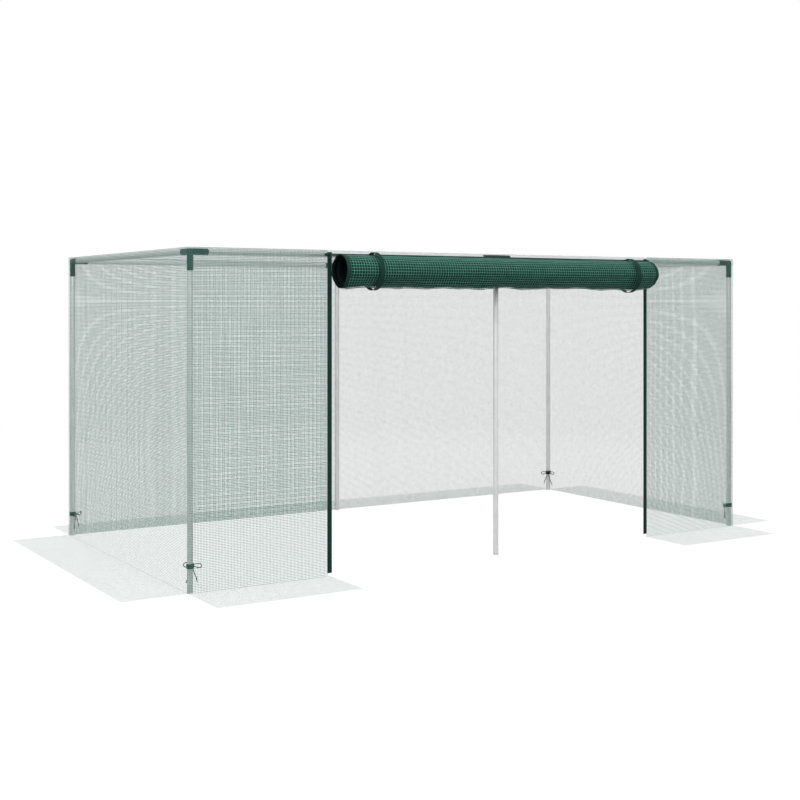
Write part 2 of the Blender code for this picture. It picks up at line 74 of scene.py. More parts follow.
# View and light
# A level camera left of the front and a little lower than the cage's top, a
# pale floor, an even white surround and one broad soft lamp from the upper left.
CAMERA_PLACE = (-2.7922, -4.3927, 0.9230)
CAMERA_TURN = -0.5437  # about the upright, in radians
SENSOR_WIDTH = 36
LENS = 58.14
LENS_SHIFT = (0.0268, -0.1238)
VIEW_END = 60
SKY_LEVEL = 0.66  # the surround's light from the side and from below
SKY_TOP = 1.32  # and from straight above
LAMP_PLACE = (-3.2, -3.6, 4.2)
LAMP_AIM = (0, 0, 0.5)
LAMP_SIZE = 3.5
LAMP_POWER = 105
FLOOR_RADIUS = 14
FLOOR_SIDES = 96
FLOOR_Z = -0.0006  # clear of the net that lies on the ground
FLOOR_GREY = 0.14  # share of the light that the floor gives back
FLOOR_LIFT = 0.89  # what the floor shows by itself, so that shadows on it stay faint
FADE_START = 2.4  # from the middle, where the floor begins to turn into the surround
FADE_END = 5.0
WHITE = (1, 1, 1, 1)


def lay(tree, kind, values=None, **settings):
    """A node of a tree, with its settings made and its inputs set or linked. A node
    among the values stands for its first output."""
    made = tree.nodes.new(kind)
    for name, value in settings.items():
        setattr(made, name, value)
    for key, value in (values or {}).items():
        if isinstance(value, bpy.types.Node):
            value = value.outputs[0]
        if isinstance(value, bpy.types.NodeSocket):
            tree.links.new(value, made.inputs[key])
        else:
            made.inputs[key].default_value = value
    return made


def sums(tree):
    """A maker of sums in a tree, from an operation and one or two values."""

    def number(operation, a, b=0.0):
        return lay(tree, "ShaderNodeMath", {0: a, 1: b}, operation=operation)

    return number


def seen_rays(tree):
    """One for rays from the camera, off a shiny face or through a clear one."""
    rays = lay(tree, "ShaderNodeLightPath").outputs
    number = sums(tree)
    seen = number("MAXIMUM", rays["Is Camera Ray"], rays["Is Glossy Ray"])
    return number("MAXIMUM", seen, rays["Is Transmission Ray"])


def put(name, data):
    """A new object in the scene."""
    made = bpy.data.objects.new(name, data)
    scene.collection.objects.link(made)
    return made


scene.view_settings.view_transform = "Standard"
camera = put("camera", bpy.data.cameras.new("camera"))
scene.camera = camera
camera.location = CAMERA_PLACE
camera.rotation_euler = (math.radians(90), 0, CAMERA_TURN)
camera.data.sensor_width = SENSOR_WIDTH
camera.data.lens = LENS
camera.data.shift_x, camera.data.shift_y = LENS_SHIFT
camera.data.clip_end = VIEW_END

surround = bpy.data.worlds.new("surround")
scene.world = surround
surround.use_nodes = True
sky = surround.node_tree
sky.nodes.clear()
seen = seen_rays(sky)
ray = lay(sky, "ShaderNodeTexCoord").outputs["Generated"]
height = lay(sky, "ShaderNodeSeparateXYZ", {0: ray}).outputs[2]
glow = lay(sky, "ShaderNodeMapRange", {"Value": height, "To Min": SKY_LEVEL, "To Max": SKY_TOP})
lit = lay(sky, "ShaderNodeBackground", {"Color": WHITE, "Strength": glow})
shown = lay(sky, "ShaderNodeBackground", {"Color": WHITE, "Strength": 1.0})
both = lay(sky, "ShaderNodeMixShader", {0: seen, 1: lit, 2: shown})
lay(sky, "ShaderNodeOutputWorld", {0: both})

lamp = put("lamp", bpy.data.lights.new("lamp", "AREA"))
lamp.data.shape = "DISK"
lamp.data.size = LAMP_SIZE
lamp.data.energy = LAMP_POWER
lamp.location = LAMP_PLACE
lamp.rotation_euler = (Vector(LAMP_AIM) - lamp.location).to_track_quat("-Z", "Y").to_euler()

shape = bmesh.new()
bmesh.ops.create_circle(shape, cap_ends=True, radius=FLOOR_RADIUS, segments=FLOOR_SIDES)
floor = put("floor", bpy.data.meshes.new("floor"))
shape.to_mesh(floor.data)
shape.free()
floor.location.z = FLOOR_Z
floor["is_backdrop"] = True
paper = bpy.data.materials.new("floor_paper")
paper.use_nodes = True
board = paper.node_tree
board.nodes.clear()
seen = seen_rays(board)
even = lay(board, "ShaderNodeMapRange", {"Value": seen, "To Min": FLOOR_GREY, "To Max": 1.0})
matt = lay(board, "ShaderNodeBsdfDiffuse", {"Color": (FLOOR_GREY, FLOOR_GREY, FLOOR_GREY, 1)})
glow = lay(board, "ShaderNodeEmission", {"Strength": even})
lift = lay(board, "ShaderNodeEmission", {"Color": (FLOOR_LIFT, FLOOR_LIFT, FLOOR_LIFT, 1), "Strength": seen})
near = lay(board, "ShaderNodeAddShader", {0: matt, 1: lift})
spot = lay(board, "ShaderNodeTexCoord").outputs["Object"]
reach = lay(board, "ShaderNodeVectorMath", {0: spot}, operation="LENGTH")
fade = lay(
    board,
    "ShaderNodeMapRange",
    {"Value": reach.outputs["Value"], "From Min": FADE_START, "From Max": FADE_END},
    interpolation_type="SMOOTHSTEP",
)
far = lay(board, "ShaderNodeMixShader", {0: fade, 1: near, 2: glow})
lay(board, "ShaderNodeOutputMaterial", {0: far})
floor.data.materials.append(paper)

# Corner ties
# Thin twisted cord sewn to the cover: a few turns round the foot of each
# corner post, then a knot, a bow and two loose tails on the post's inner side.
FRAME_LENGTH = 2.40  # over the connectors, as are the depth and the height
FRAME_DEPTH = 1.20
FRAME_HEIGHT = 1.09
SOCKET = 0.0106  # radius of the connectors' arms, so the tubes' axes lie that far in
POST_X = FRAME_LENGTH / 2 - SOCKET
POST_Y = FRAME_DEPTH / 2 - SOCKET
CORNERS = {
    "front_left": (-POST_X, -POST_Y),
    "front_right": (POST_X, -POST_Y),
    "back_left": (-POST_X, POST_Y),
    "back_right": (POST_X, POST_Y),
}
UP = Vector((0, 0, 1))
TIE_HEIGHT = 0.084
CORD = 0.003
CORD_STEP = 0.0009  # from one ring of corners on a cord to the next
PLY_TURN = 0.009  # the length in which the plies go once round
PLY_GROOVE = 0.10  # the groove between the plies, as a share of the radius
SHARP_EDGE = math.radians(50)
FINE_BUMP = 0.6
DRIFT_ENDS = (0.3, 0.7)  # noise values where a finish is at its darkest and its palest
KNOT_OUT = 0.0143  # from the post's axis to the knot's middle
KNOT_LEAN = 0.0013  # the knot's two loops stand this far to either side
KNOT_SKEW = 0.0006
KNOT_HEIGHT = 0.0036
KNOT_DEPTH = 0.0031
KNOT_CORD = 0.0012
KNOT_STEPS = 39
BOW_STEPS = 144
BOW_START = 0.0051
BOW_RISE = 0.0064
BOW_LENGTH = 0.027
BOW_BULGE = 0.0082
BOW_SPREAD = 0.0022
BOW_LEAN = 0.003
TURNS = 4
TURN_STEPS = 44
TURN_SIDES = 8
TURNS_HEIGHT = 0.0148
TURN_INSIDE = 0.0098  # from the post's axis, as are the two below
TURN_OUTSIDE = 0.0125
TURN_UNDER_NET = 0.0107
TURN_HALF = 0.00205  # half the height of one turn of cord
TURN_BEHIND = 0.01  # the least of a turn's outward way that is taken to face the net

# Points of the tails: sideways, up and inwards from the post's axis.
TAILS = {
    "short": [
        (0.0022, -0.0062, 0.0143),
        (0.0040, -0.0104, 0.0143),
        (0.0068, -0.0190, 0.0148),
        (0.0112, -0.0300, 0.0152),
        (0.0158, -0.0410, 0.0154),
        (0.0178, -0.0520, 0.0155),
    ],
    "long": [
        (-0.0022, -0.0062, 0.0143),
        (-0.0040, -0.0104, 0.0143),
        (-0.0062, -0.0200, 0.0148),
        (-0.0092, -0.0320, 0.0150),
        (-0.0152, -0.0450, 0.0154),
        (-0.0205, -0.0570, 0.0158),
    ],
}


def noise(tree, spot, scale, detail):
    """A cloudy value between none and one at a spot."""
    values = {"Vector": spot, "Scale": scale, "Detail": detail}
    return lay(tree, "ShaderNodeTexNoise", values).outputs["Fac"]


def new_finish(
    name, colour, roughness, spread=0.0, grain=40.0, bump=0.0, bump_grain=300.0, metallic=0.0, **extra
):
    """A material whose colour drifts by a share, with a fine bump of its own."""
    made = bpy.data.materials.new(name)
    made.use_nodes = True
    tree = made.node_tree
    shader = tree.nodes["Principled BSDF"]
    shader.inputs["Roughness"].default_value = roughness
    shader.inputs["Metallic"].default_value = metallic
    for socket, value in extra.items():
        shader.inputs[socket.replace("_", " ")].default_value = value
    where = lay(tree, "ShaderNodeTexCoord").outputs["Object"]
    dark = [value * (1 - spread) for value in colour]
    pale = [min(1.0, value * (1 + spread)) for value in colour]
    ramp = lay(tree, "ShaderNodeValToRGB", {0: noise(tree, where, grain, 3.0)})
    for stop, position, shade in zip(ramp.color_ramp.elements, DRIFT_ENDS, (dark, pale)):
        stop.position = position
        stop.color = (*shade, 1)
    tree.links.new(ramp.outputs[0], shader.inputs["Base Color"])
    if bump:
        fine = noise(tree, where, bump_grain, 4.0)
        relief = lay(tree, "ShaderNodeBump", {"Height": fine, "Distance": bump, "Strength": FINE_BUMP})
        tree.links.new(relief.outputs[0], shader.inputs["Normal"])
    return made


def add_piece(name, mesh, finish, body, nodes=()):
    """A finished mesh as a piece that rides on a body and stands for CAD nodes."""
    made = put(name, mesh)
    if finish and finish.name not in mesh.materials:
        mesh.materials.clear()
        mesh.materials.append(finish)
    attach(made, body)
    if nodes:
        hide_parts(*nodes)
    return made


def mesh_of(shape, name, smooth=True):
    """A bmesh as a mesh, its faces turned outwards and smooth between sharp edges."""
    made = bpy.data.meshes.new(name)
    bmesh.ops.recalc_face_normals(shape, faces=shape.faces)
    shape.to_mesh(made)
    shape.free()
    if smooth:
        made.shade_smooth()
        made.set_sharp_from_angle(angle=SHARP_EDGE)
    return made


def smooth_line(route, steps=14):
    """A fine line on a smooth curve through the points of a route."""
    route = [Vector(point) for point in route]
    ends = [route[0] * 2 - route[1], *route, route[-1] * 2 - route[-2]]
    line = []
    for a, b, c, d in zip(ends, ends[1:], ends[2:], ends[3:]):
        for step in range(steps):
            t = step / steps
            pull_in = (c - a) * t + (a * 2 - b * 5 + c * 4 - d) * t**2
            line.append(b + (pull_in + (b * 3 - a - c * 3 + d) * t**3) / 2)
    line.append(route[-1])
    return line


def spaced(line, spacing):
    """Points that far apart along a fine line, the ends included."""
    travelled = [0.0]
    for before, after in zip(line, line[1:]):
        travelled.append(travelled[-1] + (after - before).length)
    count = math.ceil(travelled[-1] / spacing)
    found = []
    index = 0
    for number in range(count + 1):
        wanted = travelled[-1] * number / count
        while index < len(line) - 2 and travelled[index + 1] < wanted:
            index += 1
        share = (wanted - travelled[index]) / (travelled[index + 1] - travelled[index])
        found.append(line[index].lerp(line[index + 1], share))
    return found


def skin(shape, rings):
    """Faces between each ring of corners and the next, and one over each end."""
    sides = len(rings[0])
    for a, b in zip(rings, rings[1:]):
        for step in range(sides):
            after = (step + 1) % sides
            shape.faces.new((a[step], a[after], b[after], b[step]))
    shape.faces.new(rings[0][::-1])
    shape.faces.new(rings[-1])


def twisted_cord(shape, line, sides=10, radius=CORD / 2):
    """A two-ply cord along a line of points, added to a bmesh with its ends closed."""
    ahead = (line[1] - line[0]).normalized()
    steep = abs(ahead.z) >= 0.9
    side = ahead.cross(Vector((1, 0, 0)) if steep else UP).normalized()
    rings = []
    gone = 0.0
    for index, point in enumerate(line):
        after = line[min(index + 1, len(line) - 1)]
        before = line[max(index - 1, 0)]
        ahead = (after - before).normalized()
        side = (side - ahead * side.dot(ahead)).normalized()
        other = ahead.cross(side)
        gone += (point - before).length
        ring = []
        for step in range(sides):
            angle = 2 * math.pi * step / sides
            plies = abs(math.cos(angle - 2 * math.pi * gone / PLY_TURN))
            lobe = (1 - PLY_GROOVE) + PLY_GROOVE * plies
            out = side * math.cos(angle) + other * math.sin(angle)
            ring.append(shape.verts.new(point + out * radius * lobe))
        rings.append(ring)
    skin(shape, rings)


def add_cord(name, line, node):
    """A loose run of the tie's cord as a piece."""
    shape = bmesh.new()
    twisted_cord(shape, line)
    made = add_piece(name, mesh_of(shape, name), cord_finish, "cage", [node])
    long = sum((b - a).length for a, b in zip(line, line[1:]))
    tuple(line[0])


def bow_route():
    """Both loops of a bow and the run between them, as one loop and its mirror image."""
    half = []
    for step in range(BOW_STEPS + 1):
        angle = 2 * math.pi * step / BOW_STEPS
        out = math.sin(angle / 2) ** 2
        s = BOW_START * math.cos(angle / 4) + BOW_LENGTH * out
        h = -BOW_SPREAD * math.cos(angle / 2) - BOW_BULGE * math.sin(angle) * out
        d = KNOT_OUT + BOW_RISE * math.sin(angle / 4) ** 2 + BOW_LEAN * out
        half.append((s, h, d))
    return half + [(-s, h, d) for s, h, d in half[-2::-1]]


def add_turns(shape, post, x_side, y_side):
    """The turns round the post. They press flat where the net holds them against it."""
    steps = TURN_STEPS * TURNS
    rings = []
    for step in range(steps + 1):
        angle = 2 * math.pi * TURNS * step / steps
        out = Vector((math.cos(angle), math.sin(angle), 0))
        to_net = max(out.x * x_side, out.y * y_side, TURN_BEHIND)
        thick = (min(TURN_OUTSIDE, TURN_UNDER_NET / to_net) - TURN_INSIDE) / 2
        middle = post + out * (TURN_INSIDE + thick) + UP * (TURNS_HEIGHT * (step / steps - 0.5))
        ring = []
        for side in range(TURN_SIDES):
            turn = 2 * math.pi * side / TURN_SIDES
            spot = middle + out * thick * math.cos(turn) + UP * TURN_HALF * math.sin(turn)
            ring.append(shape.verts.new(spot))
        rings.append(ring)
    skin(shape, rings)


cord_colour = (0.005, 0.018, 0.014)
cord_finish = new_finish("tie_cord", cord_colour, 0.75, spread=0.35, grain=900, bump=0.0002, bump_grain=2500)
for corner, (post_x, post_y) in CORNERS.items():
    post = Vector((post_x, post_y, TIE_HEIGHT))
    x_side = math.copysign(1, post_x)
    y_side = math.copysign(1, post_y)
    inwards = Vector((-x_side, -y_side, 0)).normalized()
    along = Vector((-x_side, y_side, 0)).normalized()

    def place(s, h, d):
        return post + along * s + inwards * d + UP * h

    line = spaced([place(*point) for point in bow_route()], CORD_STEP)
    add_cord("bow_" + corner, line, "tie_bow_" + corner)
    for name, tail in TAILS.items():
        line = spaced(smooth_line([place(*point) for point in tail]), CORD_STEP)
        add_cord(f"tail_{name}_{corner}", line, "tie_tails_" + corner)

    shape = bmesh.new()
    add_turns(shape, post, x_side, y_side)
    for lean in (-KNOT_LEAN, KNOT_LEAN):
        loop = []
        for step in range(KNOT_STEPS + 1):
            angle = 2 * math.pi * step / KNOT_STEPS
            s = lean + KNOT_SKEW * math.sin(angle)
            h = KNOT_HEIGHT * math.sin(angle)
            loop.append(place(s, h, KNOT_OUT + KNOT_DEPTH * math.cos(angle)))
        twisted_cord(shape, loop, sides=8, radius=KNOT_CORD)
    add_piece("wrap_" + corner, mesh_of(shape, "wrap"), cord_finish, "cage", ["tie_wrap_" + corner])

# Posts and rails
# Thin steel tube with a light grey coat, cut square and deburred. Six posts
# stand on the ground, and seven rails join their tops.
TUBE = 0.0095
TUBE_WALL = 0.0008
TUBE_SIDES = 40
TUBE_LIP = 0.0002  # the deburred edge at each end
RAIL_Z = FRAME_HEIGHT - SOCKET
STOP = 0.0118  # from the middle of a connector to the ends of its tubes
MIDDLE_X = 0.005  # the middle hoop stands a little to the right


def round_bar(start, end, radius, closed=True, round_ends=0.0):
    """A round bar between two points as a bmesh, its ends softened where that is asked."""
    start = Vector(start)
    end = Vector(end)
    shape = bmesh.new()
    long = (end - start).length
    bmesh.ops.create_cone(
        shape, cap_ends=closed, segments=TUBE_SIDES, radius1=radius, radius2=radius, depth=long
    )
    if round_ends:
        rim = [edge for edge in shape.edges if edge.verts[0].co.z * edge.verts[1].co.z > 0]
        bmesh.ops.bevel(shape, geom=rim, offset=round_ends, segments=4, profile=0.5, affect="EDGES")
    turn = (end - start).to_track_quat("Z", "Y").to_matrix().to_4x4()
    bmesh.ops.transform(shape, matrix=Matrix.Translation((start + end) / 2) @ turn, verts=shape.verts)
    return shape


pole_finish = new_finish(
    "pole_coat", (0.77, 0.78, 0.78), 0.42, spread=0.05, grain=25, bump=0.00004, bump_grain=900, metallic=0.4
)
posts = dict(CORNERS)
posts["front_middle"] = (MIDDLE_X, -POST_Y)
posts["back_middle"] = (MIDDLE_X, POST_Y)
runs = {"post_" + name: ((x, y, 0), (x, y, RAIL_Z - STOP)) for name, (x, y) in posts.items()}
for name, y in (("front", -POST_Y), ("back", POST_Y)):
    runs[f"rail_{name}_left"] = ((-POST_X + STOP, y, RAIL_Z), (MIDDLE_X - STOP, y, RAIL_Z))
    runs[f"rail_{name}_right"] = ((MIDDLE_X + STOP, y, RAIL_Z), (POST_X - STOP, y, RAIL_Z))
for name, x in (("side_left", -POST_X), ("side_right", POST_X), ("roof_middle", MIDDLE_X)):
    runs["rail_" + name] = ((x, -POST_Y + STOP, RAIL_Z), (x, POST_Y - STOP, RAIL_Z))
for name, (start, end) in runs.items():
    mesh = mesh_of(round_bar(start, end, TUBE, closed=False), name)
    pole = add_piece("pole_" + name, mesh, pole_finish, "cage", [name])
    wall = pole.modifiers.new("wall", "SOLIDIFY")
    wall.thickness = TUBE_WALL
    wall.offset = -1
    lip = pole.modifiers.new("lip", "BEVEL")
    lip.width = TUBE_LIP
    lip.segments = 2
    lip.limit_method = "ANGLE"

# Socket connectors
# Moulded dark green plastic: blind sockets at right angles on a rounded
# corner, each with a softened mouth. The tubes push in until they stop.
SOCKET_REACH = 0.060
MOUTH_ROUND = 0.0007
CORNER_EASE = 0.00015  # keeps the faces that meet in the corner off one another
ARM_EASE = 0.00003  # each arm is thinner by this, so that no two sides touch in a line
BORE_START = 0.0115
BORE_SLACK = 0.0003
BORE_OVERRUN = 1.05
CORNER_SIDES = 36
CORNER_RINGS = 21
WELD = 0.00002  # corners nearer than this are one corner
SHARP_MOULDING = math.radians(35)

moulding = {"grain": 60, "bump": 0.00006, "bump_grain": 700, "Specular_IOR_Level": 0.3}
connector_finish = new_finish("connector_plastic", (0.009, 0.036, 0.029), 0.45, spread=0.10, **moulding)


def final_mesh(made):
    """The mesh that an object shows, with its modifiers applied."""
    graph = bpy.context.evaluated_depsgraph_get()
    return bpy.data.meshes.new_from_object(made.evaluated_get(graph), depsgraph=graph)


def moulded(joint, helpers):
    """The mesh of a joint with its helpers added or taken away. All of them are used up."""
    for operation, helper in helpers:
        cut = joint.modifiers.new(operation, "BOOLEAN")
        cut.operation = operation
        cut.object = helper
    mesh = final_mesh(joint)
    for _, helper in helpers:
        bpy.data.objects.remove(helper)
    bpy.data.objects.remove(joint)
    shape = bmesh.new()
    shape.from_mesh(mesh)
    bmesh.ops.remove_doubles(shape, verts=shape.verts, dist=WELD)
    bmesh.ops.dissolve_degenerate(shape, edges=shape.edges, dist=WELD)
    shape.to_mesh(mesh)
    shape.free()
    mesh.shade_smooth()
    mesh.set_sharp_from_angle(angle=SHARP_MOULDING)
    return mesh


for name, (x, y) in posts.items():
    centre = Vector((x, y, RAIL_Z))
    side = Vector((-math.copysign(1, x), 0, 0))
    arms = [Vector((0, -math.copysign(1, y), 0)), Vector((0, 0, -1)), side]
    starts = [centre - arm * CORNER_EASE for arm in arms]
    mouths = [centre + arm * SOCKET_REACH for arm in arms]
    if "middle" in name:
        starts[-1] = centre - side * SOCKET_REACH
        arms.append(-side)
    shape = bmesh.new()
    bmesh.ops.create_uvsphere(
        shape, u_segments=CORNER_SIDES, v_segments=CORNER_RINGS, radius=SOCKET - CORNER_EASE
    )
    bmesh.ops.translate(shape, vec=centre, verts=shape.verts)
    joint = put("joint", mesh_of(shape, "joint", smooth=False))
    helpers = []
    for number, (start, mouth) in enumerate(zip(starts, mouths)):
        bar = round_bar(start, mouth, SOCKET - ARM_EASE * number, round_ends=MOUTH_ROUND)
        helpers.append(("UNION", put("bar", mesh_of(bar, "bar", smooth=False))))
    for arm in arms:
        past = centre + arm * SOCKET_REACH * BORE_OVERRUN
        bore = round_bar(centre + arm * BORE_START, past, TUBE + BORE_SLACK)
        helpers.append(("DIFFERENCE", put("bore", mesh_of(bore, "bore", smooth=False))))
    mesh = moulded(joint, helpers)
    add_piece("socket_" + name, mesh, connector_finish, "cage", ["connector_" + name])

# Net cover
# Flat green yarn knitted about 5 mm apart both ways, sewn to a box and pulled
# over the frame, with a thin second layer as a hem along the walls' top edges.
# Some panels have thinner yarn than others. The right wall, the back wall's right half, their hems and the
# roof have painted light: paler copies of the same yarn.
NET_PITCH = 0.00515
NET_YARN = 0.00103
LEFT_YARN = 0.00070
FRONT_YARN = 0.00092
HEM_YARN = 0.0003
NET_THICKNESS = 0.000005
NET_STEP = 0.06  # from one corner on a yarn to the next
NET_SWELL = 0.003  # how far a panel stands out at most
NET_WAVER = 0.0017  # how far its yarns stray sideways
SWELL_GRAIN = 3.0
STRAY_ACROSS = 90.0  # yarns stray each by itself, and slowly along their length
STRAY_ALONG = 2.5
NET_FOOT = 0.0008
HEM = 0.024
HEM_OUT = 0.0008  # how far the hem lies in front of its panel
HEM_SWELL = 0.001
HEM_SEED = 2  # what a hem's seed is more than its panel's
WALL = 0.0010  # from the outside of the frame to the middle of the net
LIFT = 0.0032  # the same over the connectors' tops, where the net stands a little proud
ROOF_SAG = 0.024  # in the middle of each half, between the rails
WALL_FLAT = 1.115  # a wall's height when it lies flat, with the fold of its hem
LEAST_AREA = 0.3  # of a net's flat size
ZIPS = {"left": -0.692, "right": 0.7195}
ZIP_SIDE = 0.0088  # from the middle of a zip to the net beside it
HALF_X = FRAME_LENGTH / 2 + WALL
HALF_Y = FRAME_DEPTH / 2 + WALL
TOP = FRAME_HEIGHT + LIFT


def new_tree(name, vectors, numbers):
    """A geometry tree with named inputs, its group's inputs and its maker of sums."""
    tree = bpy.data.node_groups.new(name, "GeometryNodeTree")
    face = tree.interface
    face.new_socket("Geometry", in_out="OUTPUT", socket_type="NodeSocketGeometry")
    kinds = [(label, "Vector") for label in vectors] + [(label, "Float") for label in numbers]
    for label, kind in [*kinds, ("Material", "Material")]:
        face.new_socket(label, in_out="INPUT", socket_type="NodeSocket" + kind)
    return tree, lay(tree, "NodeGroupInput").outputs, sums(tree)


def painted_end(tree, shape, finish):
    """The end of a geometry tree, which gives the shape its finish."""
    painted = lay(tree, "GeometryNodeSetMaterial", {"Geometry": shape, "Material": finish})
    lay(tree, "NodeGroupOutput", {0: painted})


def yarns(tree, number, sets, thickness):
    """Flat yarns over the unit square, both ways. Each set gives the way that it
    repeats, the square's real size that way, the pitch, the breadth and the steps."""
    found = []
    for way, size, pitch, breadth, steps in sets:
        count = number("ADD", number("ROUND", number("DIVIDE", size, pitch)), 1.0)
        feet = lay(tree, "GeometryNodeMeshLine", {"Count": count, "Offset": way}, mode="END_POINTS")
        share = number("DIVIDE", breadth, size)
        wide, tall, run = (share, 1.0, "Vertices Y") if way[0] else (1.0, share, "Vertices X")
        form = lay(tree, "ShaderNodeCombineXYZ", {0: wide, 1: tall, 2: thickness})
        strand = lay(tree, "GeometryNodeMeshCube", {"Size": form, run: steps})
        middle = (way[1] / 2, way[0] / 2, 0)
        laid = lay(tree, "GeometryNodeTransform", {"Geometry": strand, "Translation": middle})
        copies = {"Points": feet, "Instance": laid}
        found.append(lay(tree, "GeometryNodeInstanceOnPoints", copies))
    threads = lay(tree, "GeometryNodeJoinGeometry", {0: found[0]})
    tree.links.new(found[1].outputs[0], threads.inputs[0])
    return lay(tree, "GeometryNodeRealizeInstances", {0: threads})


def net_tree():
    """Flat yarns both ways over a panel, which swells and wavers a little."""
    tree, given, number = new_tree(
        "net_panel",
        ("Corner", "Across", "Up"),
        ("Across pitch", "Up pitch", "Across yarn", "Up yarn", "Step", "Swell", "Sag", "Waver", "Seed"),
    )

    def arrow(operation, a, b=(0, 0, 0)):
        return lay(tree, "ShaderNodeVectorMath", {0: a, 1: b}, operation=operation)

    def scaled(vector, factor):
        return lay(tree, "ShaderNodeVectorMath", {0: vector, "Scale": factor}, operation="SCALE")

    def length(vector):
        return lay(tree, "ShaderNodeVectorMath", {0: vector}, operation="LENGTH").outputs["Value"]

    def times(a, b):
        return number("MULTIPLY", a, b)

    def steps_along(size):
        return number("ADD", number("ROUND", number("DIVIDE", size, given["Step"])), 2.0)

    wide = length(given["Across"])
    tall = length(given["Up"])
    sets = (
        ((1, 0, 0), wide, given["Across pitch"], given["Across yarn"], steps_along(tall)),
        ((0, 1, 0), tall, given["Up pitch"], given["Up yarn"], steps_along(wide)),
    )
    real = yarns(tree, number, sets, NET_THICKNESS)

    here = lay(tree, "GeometryNodeInputPosition")
    u, v, depth = lay(tree, "ShaderNodeSeparateXYZ", {0: here}).outputs
    spot = lay(tree, "ShaderNodeCombineXYZ", {0: times(u, wide), 1: times(v, tall), 2: given["Seed"]})

    # Nothing moves at the edges. The product peaks at a sixteenth, in the middle.
    side_u = times(u, number("SUBTRACT", 1.0, u))
    side_v = times(v, number("SUBTRACT", 1.0, v))
    inside = number("MAXIMUM", times(times(side_u, side_v), 16.0), 0.0)
    sag = times(inside, given["Sag"])
    inside = number("POWER", inside, 0.5)
    swell = times(times(noise(tree, spot, SWELL_GRAIN, 1.0), inside), given["Swell"])
    swell = number("ADD", number("SUBTRACT", swell, sag), depth)

    drifts = []
    for stretch in ((STRAY_ACROSS, STRAY_ALONG, 1.0), (STRAY_ALONG, STRAY_ACROSS, 1.0)):
        stray = noise(tree, arrow("MULTIPLY", spot, stretch), 1.0, 0.0)
        drifts.append(times(times(number("SUBTRACT", stray, 0.5), given["Waver"]), inside))
    face_out = arrow("NORMALIZE", arrow("CROSS_PRODUCT", given["Across"], given["Up"]))
    moves = (
        (given["Across"], u),
        (given["Up"], v),
        (face_out, swell),
        (arrow("NORMALIZE", given["Across"]), drifts[0]),
        (arrow("NORMALIZE", given["Up"]), drifts[1]),
    )
    place = given["Corner"]
    for way, far in moves:
        place = arrow("ADD", place, scaled(way, far))
    moved = lay(tree, "GeometryNodeSetPosition", {"Geometry": real, "Position": place})
    painted_end(tree, moved, given["Material"])
    return tree


def grown(tree, sizes):
    """The plain mesh that a node tree makes with these sizes."""
    holder = put(tree.name, bpy.data.meshes.new(tree.name))
    growth = holder.modifiers.new(tree.name, "NODES")
    growth.node_group = tree
    for item in tree.interface.items_tree:
        if item.in_out == "INPUT" and item.name in sizes:
            growth[item.identifier] = sizes[item.name]
    mesh = final_mesh(holder)
    bpy.data.objects.remove(holder)
    mesh.materials.clear()
    mesh.materials.append(sizes["Material"])
    mesh.polygons.foreach_set("material_index", [0] * len(mesh.polygons))
    return mesh


def joined(name, meshes):
    """Several meshes as one, in which each keeps its own finish."""
    shape = bmesh.new()
    finishes = []
    slots = []
    for mesh in meshes:
        shape.from_mesh(mesh)
        if mesh.materials[0] not in finishes:
            finishes.append(mesh.materials[0])
        slots += [finishes.index(mesh.materials[0])] * len(mesh.polygons)
    made = bpy.data.meshes.new(name)
    shape.to_mesh(made)
    shape.free()
    for finish in finishes:
        made.materials.append(finish)
    made.polygons.foreach_set("material_index", slots)
    return made


def yarn_finish(name, colour, spread=0.2):
    """Dull yarn, whose colour drifts from place to place."""
    return new_finish(name, colour, roughness=0.6, spread=spread, grain=60, Specular_IOR_Level=0.15)


net_finish = yarn_finish("net_yarn", (0.105, 0.280, 0.220), spread=0.25)
# Painted light: a paler copy of the same yarn for the right wall, the back wall's right half and their hems,
# which stand in shade.
lit_yarn_finish = yarn_finish("net_yarn_lit", (0.53, 0.60, 0.57))
# Painted light: a paler copy of the same yarn for the roof, for the sky's light shining through it.
lit_roof_finish = yarn_finish("net_yarn_roof_lit", (0.36, 0.48, 0.44))
panel_tree = net_tree()


def net_panel(corner, across, up, seed, yarn=NET_YARN, swell=NET_SWELL, finish=net_finish, **other):
    """A panel of net from one corner along two sides. Other sizes go to the tree."""
    sizes = {
        "Corner": corner,
        "Across": across,
        "Up": up,
        "Across pitch": NET_PITCH,
        "Up pitch": NET_PITCH,
        "Across yarn": yarn,
        "Up yarn": yarn,
        "Step": NET_STEP,
        "Swell": swell,
        "Sag": 0.0,
        "Waver": NET_WAVER,
        "Seed": float(seed),
        "Material": finish,
    }
    sizes.update(other)
    return grown(panel_tree, sizes)


def wall_panel(x, y, across, seed, **other):
    """An upright panel that starts at the foot of the wall and ends at the roof."""
    return net_panel((x, y, NET_FOOT), across, (0, 0, TOP - NET_FOOT), seed, **other)


def hem_panel(x, y, across, seed, finish=net_finish):
    """The second layer along a wall's top edge."""
    corner = (x, y, TOP - HEM)
    return net_panel(corner, across, (0, 0, HEM), seed, yarn=HEM_YARN, swell=HEM_SWELL, finish=finish)


def net_piece(name, node, panels, flat):
    """Panels as one piece of net. It also works out the area that its flat yarns cover."""
    piece = add_piece(name, joined(name, panels), None, "cage", [node])
    area = sum(face.area for face in piece.data.polygons) / 2
    area = min(max(area, LEAST_AREA * flat[0] * flat[1]), flat[0] * flat[1])
